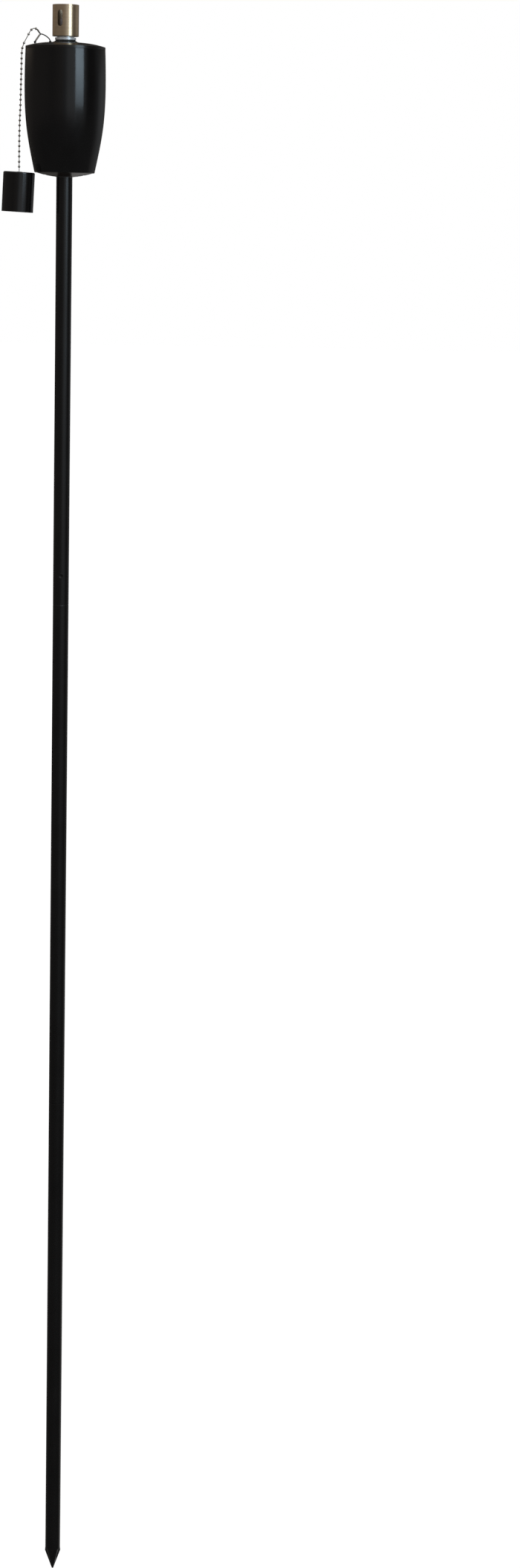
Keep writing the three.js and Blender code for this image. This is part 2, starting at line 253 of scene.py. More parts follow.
def wire_into(bm, points, radius, sides, ring=False):
    """Adds a round wire along 3-D points (m), with domed ends unless it closes in a ring."""
    count = len(points)
    side = None
    loops = []
    for i, point in enumerate(points):
        before = points[i - 1] if ring or i else point
        after = points[(i + 1) % count] if ring or i < count - 1 else point
        ahead = (after - before).normalized()
        if side is None:
            side = ahead.cross(Vector((0, 1, 0)))
            side = side if side.length > 0.1 else ahead.cross(Vector((1, 0, 0)))
        side = (side - ahead * side.dot(ahead)).normalized()
        other = ahead.cross(side)
        turn = [2 * math.pi * k / sides for k in range(sides)]
        spokes = [(side * math.cos(a) + other * math.sin(a)) * radius for a in turn]
        if not ring and i == 0:
            for back, share in reversed(DOME):
                centre = point - ahead * radius * back
                loops.append([bm.verts.new(centre + spoke * share) for spoke in spokes])
        loops.append([bm.verts.new(point + spoke) for spoke in spokes])
        if not ring and i == count - 1:
            for on, share in DOME:
                centre = point + ahead * radius * on
                loops.append([bm.verts.new(centre + spoke * share) for spoke in spokes])
    pairs = list(zip(loops, loops[1:]))
    if ring:
        pairs.append((loops[-1], loops[0]))
    for low, high in pairs:
        for k in range(sides):
            m = (k + 1) % sides
            bm.faces.new((low[k], low[m], high[m], high[k]))
    if not ring:
        bm.faces.new(loops[0])
        bm.faces.new(loops[-1])


def along(start, end):
    """The matrix that puts a piece made about +Z at start, pointing to end."""
    return Matrix.Translation(start) @ UP.rotation_difference(end - start).to_matrix().to_4x4()


# ---- material helpers ----
class Tree:
    """An emptied node tree, with short calls for what the finishes and the room share."""

    def __init__(self, owner):
        owner.use_nodes = True
        self.tree = owner.node_tree
        self.tree.nodes.clear()

    def node(self, kind):
        return self.tree.nodes.new(kind)

    def link(self, source, target):
        self.tree.links.new(source, target)

    def put(self, value, socket):
        """Gives a socket another socket's value, a number or a colour."""
        if isinstance(value, bpy.types.NodeSocket):
            self.link(value, socket)
        elif isinstance(value, tuple):
            socket.default_value = (*value, 1)
        else:
            socket.default_value = value

    def mapped(self, value, low_in, high_in, low_out, high_out, ease="LINEAR"):
        node = self.node("ShaderNodeMapRange")
        node.interpolation_type = ease
        ends = (("From Min", low_in), ("From Max", high_in), ("To Min", low_out), ("To Max", high_out))
        for name, number in ends:
            node.inputs[name].default_value = number
        self.link(value, node.inputs["Value"])
        return node.outputs["Result"]

    def mixed(self, share, first, second):
        """A colour between two colours, each a tuple or a socket."""
        node = self.node("ShaderNodeMix")
        node.data_type = "RGBA"
        self.link(share, node.inputs[0])
        # A Mix node's colour sockets: A and B are inputs 6 and 7, the result is output 2.
        self.put(first, node.inputs[6])
        self.put(second, node.inputs[7])
        return node.outputs[2]

    def math(self, operation, first, second):
        node = self.node("ShaderNodeMath")
        node.operation = operation
        self.put(first, node.inputs[0])
        self.put(second, node.inputs[1])
        return node.outputs[0]


class Nodes(Tree):
    """A new material and its shader."""

    def __init__(self, name):
        self.material = bpy.data.materials.new(name)
        super().__init__(self.material)
        self.shader = self.node("ShaderNodeBsdfPrincipled")
        self.link(self.shader.outputs["BSDF"], self.node("ShaderNodeOutputMaterial").inputs["Surface"])
        self.place = self.node("ShaderNodeTexCoord").outputs["Object"]

    def stretched(self, scale):
        """Object coordinates times a scale along each axis."""
        node = self.node("ShaderNodeMapping")
        node.inputs["Scale"].default_value = scale
        self.link(self.place, node.inputs["Vector"])
        return node.outputs["Vector"]

    def noise(self, scale, detail=2.0, roughness=0.5, stretch=(1, 1, 1)):
        node = self.node("ShaderNodeTexNoise")
        node.inputs["Scale"].default_value = scale
        node.inputs["Detail"].default_value = detail
        node.inputs["Roughness"].default_value = roughness
        self.link(self.stretched(stretch), node.inputs["Vector"])
        return node.outputs["Fac"]

    def within(self, radius, blend):
        """1 inside a radius (mm) about the Z axis, falling to 0 outside it."""
        flat = self.node("ShaderNodeVectorMath")
        flat.operation = "LENGTH"
        self.link(self.stretched((1, 1, 0)), flat.inputs[0])
        return self.mapped(flat.outputs["Value"], (radius - blend) * MM, radius * MM, 1, 0)

    def edges(self, low, high):
        """0 at the low pointiness and 1 at the high: outer edges are over 0.5 and hollows under it."""
        geometry = self.node("ShaderNodeNewGeometry")
        return self.mapped(geometry.outputs["Pointiness"], low, high, 0, 1)

    def bump(self, height, strength, distance, before=None):
        node = self.node("ShaderNodeBump")
        node.inputs["Strength"].default_value = strength
        node.inputs["Distance"].default_value = distance
        self.link(height, node.inputs["Height"])
        if before is not None:
            self.link(before, node.inputs["Normal"])
        return node.outputs["Normal"]

    def set(self, **values):
        """Sets the shader's sockets, named with _ for a space."""
        for name, value in values.items():
            self.put(value, self.shader.inputs[name.replace("_", " ")])


def enamel(name, gloss, tint):
    """Black baked enamel: satin gloss, a fine orange peel, faint handling marks, thin paint at edges whose
    lighter primer is also a painted edge highlight.
    """
    dust, primer_and_edge_highlight = (0.03, 0.028, 0.026), (0.085, 0.08, 0.075)
    n = Nodes(name)
    cloud = n.noise(28, 3)
    speck = n.noise(2600, 1)
    # Outer edges lightened towards the primer colour: edge wear, and also a painted edge highlight.
    edge_wear_and_highlight = n.math("MULTIPLY", n.edges(0.56, 0.64), n.mapped(n.noise(420, 4, 0.6), 0.5, 0.72, 0, 0.55))
    paint = n.mixed(n.mapped(cloud, 0.3, 0.7, 0, 1), tint, tuple(c * 1.5 for c in tint))
    paint = n.mixed(n.mapped(speck, 0.74, 0.8, 0, 0.5), paint, dust)
    colour = n.mixed(edge_wear_and_highlight, paint, primer_and_edge_highlight)
    smudge = n.mapped(n.noise(90, 4, 0.6, (1, 1, 0.4)), 0.35, 0.75, gloss - 0.02, gloss + 0.06)
    peel = n.bump(n.noise(620, 2), 0.05, 0.0002)
    grit = n.bump(speck, 0.03, 0.0001, peel)
    n.set(Base_Color=colour, Roughness=smudge, Normal=grit, IOR=1.52, Metallic=0.0)
    return n.material


def brushed_steel(name):
    """Stainless polished on a lathe: fine rings, so that highlights run upright, and a darker, browner
    inside that is painted shade.
    """
    dark_ring, light_ring = (0.74, 0.575, 0.39), (0.86, 0.675, 0.465)
    straw, inside_shade = (0.66, 0.50, 0.32), (0.34, 0.27, 0.19)
    n = Nodes(name)
    fine = n.noise(2400, 3, 0.6, (0.012, 0.012, 1))
    broad = n.noise(420, 3, 0.55, (0.02, 0.02, 1))
    grain = n.math("ADD", n.math("MULTIPLY", fine, 0.6), n.math("MULTIPLY", broad, 0.4))
    heat = n.mapped(n.noise(60, 3), 0.35, 0.75, 0, 0.35)
    steel = n.mixed(n.mapped(grain, 0.36, 0.64, 0, 1), dark_ring, light_ring)
    steel = n.mixed(heat, steel, straw)
    # The inner wall is darkened and browned: painted shade inside the cup.
    steel = n.mixed(n.within(SHROUD_RADIUS - SHROUD_WALL * 0.6, 0.2), steel, inside_shade)
    n.set(Base_Color=steel, Metallic=0.95, Roughness=n.mapped(grain, 0.35, 0.65, 0.34, 0.28))
    n.set(Anisotropic=0.8, Anisotropic_Rotation=0.25)
    tangent = n.node("ShaderNodeTangent")
    tangent.direction_type = "RADIAL"
    tangent.axis = "Z"
    n.link(tangent.outputs["Tangent"], n.shader.inputs["Tangent"])
    n.set(Normal=n.bump(grain, 0.08, 0.00005))
    return n.material


def turned_steel(name, colour, rough, metallic=1.0):
    """Zinc-plated steel with fine turning rings and dull patches."""
    n = Nodes(name)
    rings = n.noise(3200, 2, 0.5, (0.02, 0.02, 1))
    patch = n.noise(130, 4, 0.6)
    dull = tuple(c * 0.72 for c in colour)
    tone = n.mixed(n.mapped(patch, 0.35, 0.7, 0, 1), colour, dull)
    shine = n.mapped(n.math("ADD", rings, patch), 0.8, 1.25, rough - 0.06, rough + 0.1)
    n.set(Base_Color=tone, Metallic=metallic, Roughness=shine, Normal=n.bump(rings, 0.15, 0.00005))
    return n.material


def nickel_beads(name):
    """Plated beads: bright, with scuffs, and painted shade darkening the necks between bead and link."""
    bright, scuffed, neck_shade_colour = (0.62, 0.565, 0.50), (0.42, 0.375, 0.325), (0.09, 0.078, 0.066)
    n = Nodes(name)
    scuff = n.noise(1500, 4, 0.65)
    # Hollows darkened towards near black: painted shade in the necks between bead and link.
    neck_shade = n.edges(0.49, 0.42)
    tone = n.mixed(n.mapped(scuff, 0.4, 0.7, 0, 1), bright, scuffed)
    tone = n.mixed(neck_shade, tone, neck_shade_colour)
    n.set(Base_Color=tone, Metallic=1.0, Roughness=n.mapped(scuff, 0.35, 0.7, 0.16, 0.34))
    n.set(Normal=n.bump(scuff, 0.06, 0.00004))
    return n.material


def soft_rubber(name):
    """Matt black rubber with a fine grain."""
    n = Nodes(name)
    grain = n.noise(2600, 3, 0.6)
    tone = n.mixed(n.mapped(grain, 0.4, 0.7, 0, 1), (0.012, 0.012, 0.012), (0.03, 0.029, 0.028))
    n.set(Base_Color=tone, Roughness=n.mapped(grain, 0.3, 0.7, 0.7, 0.9), Normal=n.bump(grain, 0.2, 0.00005))
    return n.material


def glass_fibre(name):
    """Plaited glass-fibre yarn: cream threads with shadowed gaps."""
    dark_thread, light_thread, gap = (0.60, 0.55, 0.45), (0.80, 0.76, 0.67), (0.30, 0.26, 0.20)
    n = Nodes(name)
    threads = n.noise(1900, 3, 0.6, (1, 1, 0.35))
    hollow = n.edges(0.5, 0.44)
    yarn = n.mixed(n.mapped(threads, 0.35, 0.65, 0, 1), dark_thread, light_thread)
    yarn = n.mixed(hollow, yarn, gap)
    n.set(Base_Color=yarn, Roughness=0.92, Sheen_Weight=0.25, Sheen_Roughness=0.6)
    n.set(Normal=n.bump(threads, 0.5, 0.00012))
    return n.material


POLE_PAINT = enamel("pole_enamel", 0.26, (0.0022, 0.0021, 0.0022))
TANK_PAINT = enamel("canister_enamel", 0.125, (0.0022, 0.0021, 0.0022))
LID_PAINT = enamel("lid_enamel", 0.2, (0.004, 0.0032, 0.0028))
WIRE_PAINT = enamel("wire_enamel", 0.34, (0.007, 0.0062, 0.006))
SHROUD_STEEL = brushed_steel("brushed_steel")
BAND_STEEL = turned_steel("turned_steel", (0.97, 0.97, 0.97), 0.3, 0.45)
# The wick holder's lavender-white tone, lighter than the zinc, is a painted highlight inside the cup.
TUBE_PAINTED_HIGHLIGHT = turned_steel("tube_painted_highlight", (0.86, 0.84, 0.9), 0.4, 0.35)
ZINC = turned_steel("zinc_plate", (0.58, 0.59, 0.60), 0.34)
CLIP_STEEL = turned_steel("clip_steel", (0.66, 0.6, 0.54), 0.42)
HOOK_STEEL = turned_steel("hook_steel", (0.3, 0.26, 0.22), 0.34)
NICKEL = nickel_beads("nickel_beads")
RUBBER = soft_rubber("gasket_rubber")
FIBRE = glass_fibre("wick_fibre")

# ---- chain: first of the pieces, because its route is shared with the CAD ----
CHAIN_ROUTE = [
    (-26.5, 1424.1), (-28.1, 1425.9), (-30.4, 1426.7), (-32.3, 1426.3), (-34.7, 1424.0), (-36.3, 1421.0),
    (-38.7, 1416.6), (-40.9, 1412.2), (-42.4, 1407.6), (-42.95, 1402.5), (-43.2, 1390.0), (-43.6, 1371.8),
    (-44.0, 1352.7), (-44.6, 1336.0), (-44.85, 1322.0), (-44.9, 1307.0), (-44.9, 1292.3),
]
BEAD_PITCH = 4.98
# Counted from the cap, the place where a bead is missing.
BARE_LINK = 25
LAST_BEAD_RISE = 0.8
FIRST_BEAD = 0.9
FIRST_BEAD_SHARE = 0.75
BEAD_HOLE = 0.55
BEAD_WALL = 0.22
BEAD_REACH = 0.9
LINK_RADIUS = 0.4
LINK_STEP = 0.5
HOOK_LOW = Vector((-24.75, 0, 1421.55)) * MM
HOOK_HIGH = Vector((-28.3, 0, 1426.1)) * MM
HOOK_HALF_WIDTH = 0.248
HOOK_HALF_DEPTH = 0.95
HOOK_WIRE = 0.48
PIN_RADIUS = 0.36


def bead_outline(radius):
    """A hollow bead rolled from sheet: a round shell whose two ends turn in round a small hole."""
    start = math.asin(BEAD_HOLE / radius)
    turn = [start + (math.pi - 2 * start) * i / 14 for i in range(15)]
    hollow = radius - BEAD_WALL
    outside = [(radius * math.sin(a), -radius * math.cos(a)) for a in turn]
    inside = [(hollow * math.sin(a), -hollow * math.cos(a)) for a in turn]
    return outside + [(max(r, BEAD_HOLE * 0.9), z) for r, z in reversed(inside)]


def make_chain():
    """Beads spaced up from the cap, with a link between each pair, as one mesh."""
    points, length = smooth_route([Vector((x, 0, z)) * MM for x, z in CHAIN_ROUTE])
    step = length / (len(points) - 1)

    def at(distance):
        return points[min(len(points) - 1, max(0, round(distance / step)))]

    count = int(length / (BEAD_PITCH * MM)) + 1
    stops = [length - (LAST_BEAD_RISE + k * BEAD_PITCH) * MM for k in range(count) if k != BARE_LINK]
    stops.append(FIRST_BEAD * MM)
    bm = bmesh.new()
    for stop in stops:
        radius = CHAIN_RADIUS if stop > FIRST_BEAD * MM else CHAIN_RADIUS * FIRST_BEAD_SHARE
        centre = at(stop)
        ahead = at(stop + step) - at(stop - step)
        lathe_into(bm, bead_outline(radius), 20, matrix=along(centre, centre + ahead))
    stops.sort()
    for low, high in zip(stops, stops[1:]):
        inner = BEAD_REACH * MM
        span = high - low - 2 * inner
        steps = max(1, int(span / (LINK_STEP * MM)))
        route = [at(low + inner + span * i / steps) for i in range(steps + 1)]
        wire_into(bm, route, LINK_RADIUS * MM, 10)
    chain = finished(
        "bead_chain", mesh_from("bead_chain", bm), "chain", ["snuffer_chain"], NICKEL, 50)
    return chain, points, length


def make_chain_hook():
    """The split link that joins the first bead to the wire loop."""
    middle = (HOOK_LOW + HOOK_HIGH) / 2
    half = (HOOK_HIGH - HOOK_LOW) / 2
    deep = Vector((0, 1, 0))
    aside = half.normalized().cross(deep) * HOOK_HALF_WIDTH * MM + deep * HOOK_HALF_DEPTH * MM
    turn = [2 * math.pi * i / 40 for i in range(40)]
    points = [middle + half * math.cos(a) + aside * math.sin(a) for a in turn]
    bm = bmesh.new()
    wire_into(bm, points, HOOK_WIRE * MM, 12, ring=True)
    return finished("chain_hook", mesh_from("chain_hook", bm), "chain", [], HOOK_STEEL, 60)


def make_end_link():
    """The headed pin that hangs the cap, through the eyelet in its crown."""
    low, high = box_mm("chain_end_link")
    head = low.z - BASE_Z
    top = high.z - BASE_Z
    size = (high.x - low.x) / 2
    turn = [math.pi / 2 * i / 8 for i in range(9)]
    outline = [(size * math.sin(a), head + size * (1 - math.cos(a))) for a in turn]
    outline += [(size, head + size * 1.2), (0.5, head + size * 1.7), (PIN_RADIUS, head + size * 2.2)]
    outline += [(PIN_RADIUS, top - 0.2), (PIN_RADIUS - 0.11, top), (0, top)]
    mesh = lathed("end_link", outline, 24, matrix=Matrix.Translation(CAP_PLACE))
    return finished("end_link", mesh, "chain", ["chain_end_link"], NICKEL)


BEAD_CHAIN, CHAIN_POINTS, CHAIN_LENGTH = make_chain()
CHAIN_HOOK = make_chain_hook()
END_LINK = make_end_link()


# ---- pole ----
TUBE_EDGE = 0.28
MARK_RING = 0.22


def tube_outline(low, high, extra=()):
    """A tube with softly cut ends; extra heights add rings on the outside for a mark's detail."""
    inner = POLE_RADIUS - POLE_WALL
    outside = [(POLE_RADIUS, z) for z in sorted((low, *extra, high))]
    return rounded([(inner, high), (inner, low), *outside], TUBE_EDGE, 3)


def staked(height, side):
    """Presses a round stake mark into the tube at that height, on the front (-1) or back (1)."""
    centre = Vector((0, side * POLE_RADIUS, height)) * MM

    def press(point):
        out = Vector((point.x, point.y, 0))
        if out.length < (POLE_RADIUS - 0.1) * MM:
            return point
        reach = (point - centre).length / (STAKE_MARK_RADIUS * MM)
        dent = max(0.0, 1 - reach ** 2) ** 1.3 * STAKE_MARK_DEPTH
        lip = 0.05 * math.exp(-((reach - 1.12) / 0.16) ** 2)
        return point + out.normalized() * (lip - dent) * MM

    return press


def make_tube(name, node, body, side):
    """A straight section, with its stake mark near the lower end."""
    low, high = box_mm(node)
    mark = low.z + STAKE_MARK_RISE
    extra = [mark + MARK_RING * i for i in range(-14, 15)]
    mesh = lathed(name, tube_outline(low.z, high.z, extra), 160, staked(mark, side))
    finished(name, mesh, body, [node], POLE_PAINT, 30)


def make_point_section():
    """The lower tube, pleated shut into a stake's point."""
    inner = POLE_RADIUS - POLE_WALL
    flared = POLE_RADIUS + POINT_FLARE
    tip = 1.2
    blend = 4.5
    top = TIP_Z + POINT_LENGTH
    turn = [math.pi / 2 * i / 6 for i in range(7)]
    outside = [(tip * math.sin(a), TIP_Z + tip * (1 - math.cos(a))) for a in turn]
    outside += [(tip + (flared - tip) * i / 24, TIP_Z + tip + (POINT_LENGTH - tip) * i / 24)
                for i in range(1, 25)]
    outside += [(flared - POINT_FLARE * (1 - math.cos(math.pi * i / 8)) / 2, top + blend * i / 8)
                for i in range(1, 9)]
    bore = [(POLE_RADIUS, LOWER_SEAM_Z), (inner, LOWER_SEAM_Z), (inner, top + 4), (inner * 0.6, top - 6),
            (0, TIP_Z + 6)]
    ends = rounded(bore, TUBE_EDGE, 3)

    def pleat(point):
        down = min(1.0, max(0.0, (top + 3 - point.z / MM) / (POINT_LENGTH + 3)))
        turn_by = math.atan2(point.y, point.x)
        fold = abs(math.sin(POINT_FOLDS / 2 * turn_by)) ** 1.6
        scale = 1 - FOLD_DEPTH * fold * math.sin(math.pi * math.sqrt(down))
        return Vector((point.x * scale, point.y * scale, point.z))

    mesh = lathed("pole_lower", outside + ends, 192, pleat)
    finished("pole_lower", mesh, "stake", ["lower_pole"], POLE_PAINT, 34)


def make_coupler(name, node, body):
    """A rolled sleeve, with chamfered ends and the straight groove of its butted edges."""
    low, high = box_mm(node)
    bore = high.x - POLE_WALL
    outline = rounded([(bore, low.z), (high.x, low.z), (high.x, high.z), (bore, high.z)], 0.45)
    depth, width = 0.22, 0.28

    def groove(point):
        out = Vector((point.x, point.y, 0))
        aside = math.atan2(point.x, point.y) * high.x
        cut = depth * math.exp(-(aside / width) ** 2)
        return point - out.normalized() * cut * MM

    finished(name, lathed(name, outline, 144, groove), body, [node], ZINC)


def make_pole():
    make_point_section()
    make_coupler("coupler_lower", "lower_coupler", "middle_section")
    make_tube("pole_middle", "middle_pole", "middle_section", 1)
    make_coupler("coupler_upper", "upper_coupler", "upper_section")
    make_tube("pole_upper", "upper_pole", "upper_section", -1)


# ---- canister ----
FOOT_PULL = (38, BASE_Z + 38.7)
BELLY_PULL = (41.75, BASE_Z + 53.8)
CANISTER_EDGE = 0.9
LID_HOLE_RADIUS = NECK_BORE + 2
BASE_DISH = 4.5
BASE_LIFT = 0.2
SOCKET_PLAY = 0.35
SOCKET_ROOF = 1.0


def canister_side(inset, low, high, steps=40):
    """The barrel's side as (radius, height): the cubic Bezier that the CAD shell follows."""
    ends = [(BASE_RADIUS, low), FOOT_PULL, BELLY_PULL, (RIM_RADIUS, high)]
    points = []
    for i in range(steps + 1):
        t = i / steps
        weights = ((1 - t) ** 3, 3 * t * (1 - t) ** 2, 3 * t * t * (1 - t), t ** 3)
        points.append(tuple(sum(w * p[axis] for w, p in zip(weights, ends)) - (inset if axis == 0 else 0)
                            for axis in (0, 1)))
    return points


def make_canister_body():
    """The barrel: one thin skin, turned in at its foot."""
    edge = CANISTER_EDGE
    turn = [-math.pi / 2 + math.pi / 2 * i / 8 for i in range(8)]
    corner = [(BASE_RADIUS - edge + edge * math.cos(a), BASE_Z + edge + edge * math.sin(a)) for a in turn]
    outer = canister_side(0, BASE_Z + edge, RIM_Z)
    inner = canister_side(SHEET, BASE_Z + edge, RIM_Z)
    foot = BASE_RADIUS - edge - 0.2
    outline = [(foot, BASE_Z), *corner[1:], *outer, *reversed(inner), (foot, BASE_Z + SHEET)]
    outline = rounded(outline, 0.16, 3)
    finished("canister_body", lathed("canister_body", outline, 224), "canister", ["canister_shell"],
             TANK_PAINT)


def lid_height(radius):
    """The lid's top at a radius: a dome over an upright shoulder."""
    return RIM_Z + 0.3 + LID_SHOULDER + LID_DOME * (1 - (radius / RIM_RADIUS) ** 3)


def make_canister_top():
    """The domed lid: an upright rim flush with the side, a skirt below it inside the shell."""
    skirt = RIM_RADIUS - SHEET - 0.3
    edge = RIM_Z + SEAM
    low = box_mm("canister_lid")[0].z
    radii = [LID_HOLE_RADIUS + (RIM_RADIUS - LID_HOLE_RADIUS) * i / 30 for i in range(31)]
    top = [(radius, lid_height(radius)) for radius in radii]
    rim = [(RIM_RADIUS, edge + 0.1), (RIM_RADIUS - 0.03, edge + 0.03), (RIM_RADIUS - 0.1, edge),
           (skirt, edge)]
    under = [(skirt, low), (skirt - SHEET, low), (skirt - SHEET, lid_height(skirt) - SHEET)]
    inside = [(radius, lid_height(radius) - SHEET) for radius in reversed(radii[:-3])]
    outline = rounded(top + rim + under + inside, 0.3)
    finished("canister_top", lathed("canister_top", outline, 224), "canister", ["canister_lid"],
             LID_PAINT)


def make_canister_base():
    """The dished base, with a pressed ring half-way out and a hole for the pole."""
    low, high = box_mm("canister_bottom")
    hole = POLE_RADIUS + 1.45
    rim = high.x
    ring_middle, ring_width, ring_rise = (hole + rim) / 2, 0.9, 0.25

    def dish(radius):
        ring = ring_rise * math.exp(-((radius - ring_middle) / ring_width) ** 2)
        return BASE_Z + BASE_LIFT - BASE_DISH * (1 - (radius / rim) ** 2) + ring

    radii = [hole + (rim - hole) * i / 32 for i in range(33)]
    outline = [(radius, dish(radius)) for radius in radii]
    outline += [(rim, high.z), (rim - SHEET, high.z)]
    outline += [(min(radius, rim - SHEET), dish(radius) + SHEET) for radius in reversed(radii)]
    finished("canister_base", lathed("canister_base", outline, 192), "canister", ["canister_bottom"],
             LID_PAINT)


def make_socket():
    """The blind tube that drops over the pole."""
    low, high = box_mm("pole_socket")
    bore = POLE_RADIUS + SOCKET_PLAY
    roof = high.z - SOCKET_ROOF
    outline = rounded([(0, roof), (bore, roof), (bore, low.z), (high.x, low.z), (high.x, high.z),
                       (0, high.z)], 0.3)
    finished("socket_tube", lathed("socket_tube", outline, 96), "canister", ["pole_socket"],
             ZINC)


def make_filler_collar():
    """The flared collar, spun down on to the lid, with its tube below."""
    low = box_mm("filler_neck")[0].z
    tube = NECK_BORE + 1.5
    top = tube + 0.5
    foot = lid_height(COLLAR_FLARE) + 0.08
    flare = [(top + (COLLAR_FLARE - top) * (1 - t) ** 2, foot + 0.25 + (COLLAR_TOP_Z - foot - 0.45) * t)
             for t in [i / 10 for i in range(11)]]
    outline = [(NECK_BORE, low), (tube, low), (tube, foot), (COLLAR_FLARE - 0.15, foot), *flare,
               (top - 0.06, COLLAR_TOP_Z - 0.06), (top - 0.2, COLLAR_TOP_Z), (NECK_BORE + 0.2, COLLAR_TOP_Z),
               (NECK_BORE, COLLAR_TOP_Z - 0.2)]
    finished("filler_collar", lathed("filler_collar", outline, 128), "canister", ["filler_neck"],
             LID_PAINT)


def make_gasket():
    low, high = box_mm("neck_gasket")
    outline = rounded([(NECK_BORE, low.z), (high.x, low.z), (high.x, high.z), (NECK_BORE, high.z)], 0.25)
    finished("gasket_ring", lathed("gasket_ring", outline, 96), "canister", ["neck_gasket"],
             RUBBER)


def make_canister():
    make_canister_body()
    make_canister_top()
    make_canister_base()
    make_socket()
    make_filler_collar()
    make_gasket()


# ---- burner ----
WICK_TUBE_BORE = 6.1


def make_burner_band():
    """The plug: a bright band with eased edges, a waist above it and a plain skirt below."""
    low, high = box_mm("burner_plug")
    bore = WICK_TUBE_BORE
    skirt = NECK_BORE - 0.3
    foot = COLLAR_TOP_Z + BAND_LIFT
    top = foot + BAND_HEIGHT
    edge = 0.2
    waist = skirt - 0.1
    outline = [(bore, low.z), (skirt - 0.4, low.z), (skirt, low.z + 0.5), (skirt, foot),
               (high.x - edge, foot), (high.x, foot + edge), (high.x, top - edge), (high.x - edge, top),
               (waist, top), (waist, high.z), (bore, high.z)]
    finished("burner_band", lathed("burner_band", outline, 160), "burner", ["burner_plug"],
             BAND_STEEL)


def slot_cutter(turn):
    """An upright obround bar that points outwards through the cup's wall."""
    radius = SLOT_WIDTH / 2
    straight = (SLOT_HEIGHT - SLOT_WIDTH) / 2
    middle = SHROUD_TOP_Z - SLOT_BELOW_TOP - SLOT_HEIGHT / 2
    outline = []
    for end in (1, -1):
        for i in range(17):
            angle = math.pi * i / 16 + (0 if end > 0 else math.pi)
            outline.append((radius * math.cos(angle), end * straight + radius * math.sin(angle)))
    bm = bmesh.new()
    rings = [[bm.verts.new(Vector((x, -depth, middle + z)) * MM) for x, z in outline] for depth in (9, 15)]
    for i in range(len(outline)):
        j = (i + 1) % len(outline)
        bm.faces.new((rings[0][i], rings[0][j], rings[1][j], rings[1][i]))
    for ring in rings:
        bm.faces.new(ring)
    bmesh.ops.transform(bm, matrix=Matrix.Rotation(turn, 4, "Z"), verts=bm.verts)
    cutter = bpy.data.objects.new("cutter", mesh_from("cutter", bm))
    bpy.context.scene.collection.objects.link(cutter)
    return cutter


def applied(name, mesh, modify):
    """The mesh with the modifiers that modify(object) adds, applied."""
    holder = bpy.data.objects.new(name + "_work", mesh)
    bpy.context.scene.collection.objects.link(holder)
    modify(holder)
    result = bpy.data.meshes.new_from_object(holder.evaluated_get(bpy.context.evaluated_depsgraph_get()))
    result.name = name
    bpy.data.objects.remove(holder)
    return result


def make_burner_cup():
    """The drawn cup: rolled lip, rounded foot and two air slots with dressed edges."""
    inner = SHROUD_RADIUS - SHROUD_WALL
    outline = rounded([
        (WICK_TUBE_BORE, SHROUD_Z), (SHROUD_RADIUS, SHROUD_Z),
        (SHROUD_RADIUS, SHROUD_TOP_Z), (inner, SHROUD_TOP_Z),
        (inner, SHROUD_Z + SHROUD_WALL), (WICK_TUBE_BORE, SHROUD_Z + SHROUD_WALL),
    ], 0.28)
    cutters = [slot_cutter(SLOT_TURN + 2 * math.pi * i / SLOT_COUNT) for i in range(SLOT_COUNT)]

    def cut_slots(holder):
        for cutter in cutters:
            boolean = holder.modifiers.new("slot", "BOOLEAN")
            boolean.operation = "DIFFERENCE"
            boolean.solver = "EXACT"
            boolean.object = cutter
        bevel = holder.modifiers.new("dressed", "BEVEL")
        bevel.limit_method = "ANGLE"
        bevel.angle_limit = math.radians(50)
        bevel.width = 0.09 * MM
        bevel.segments = 2

    mesh = applied("burner_cup", lathed("burner_cup_blank", outline, 256), cut_slots)
    for cutter in cutters:
        bpy.data.objects.remove(cutter)
    finished("burner_cup", mesh, "burner", ["burner_shroud"], SHROUD_STEEL, 30)


def make_wick_holder():
    low, high = box_mm("wick_tube")
    bore = high.x - 0.5
    outline = rounded([(bore, low.z), (high.x, low.z), (high.x, high.z), (bore, high.z)], 0.16)
    finished("wick_holder", lathed("wick_holder", outline, 96), "burner", ["wick_tube"],
             TUBE_PAINTED_HIGHLIGHT)


def make_wick():
    """A plaited round wick: two families of strands that pass over and under each other."""
    low, high = box_mm("wick")
    radius = high.x
    strands = 8
    pitch = 3.6
    ring_step = 0.42
    relief = 0.13
    rings = round((high.z - low.z) / ring_step)
    outline = [(0, low.z)]
    outline += [(radius, low.z + (high.z - low.z) * i / rings) for i in range(rings + 1)]
    outline += [(radius * 0.7, high.z), (radius * 0.35, high.z - 0.3), (0, high.z - 0.4)]

    def plait(point):
        around = math.hypot(point.x, point.y) / (radius * MM)
        if around < 0.01:
            return point
        turn = math.atan2(point.y, point.x) / (2 * math.pi) * strands
        rise = point.z / MM / pitch
        first, second = turn + rise, turn - rise
        near_first, near_second = round(first), round(second)
        lift = math.cos(math.pi * (second + near_first)) * 0.5 + 0.5
        drop = 0.5 - 0.5 * math.cos(math.pi * (first + near_second))
        one = math.sqrt(max(0.0, 1 - (2 * (first - near_first)) ** 2)) * (0.45 + 0.55 * lift)
        other = math.sqrt(max(0.0, 1 - (2 * (second - near_second)) ** 2)) * (0.45 + 0.55 * drop)
        sunk = 1 - max(one, other)
        scale = 1 - relief * sunk * min(1.0, around)
        down = 0.25 * MM * sunk if around < 0.9 else 0
        return Vector((point.x * scale, point.y * scale, point.z - down))

    mesh = lathed("wick_braid", outline, 120, plait)
    finished("wick_braid", mesh, "wick", ["wick"], FIBRE, 80)


def make_burner():
    make_burner_band()
    make_burner_cup()
    make_wick_holder()
    make_wick()


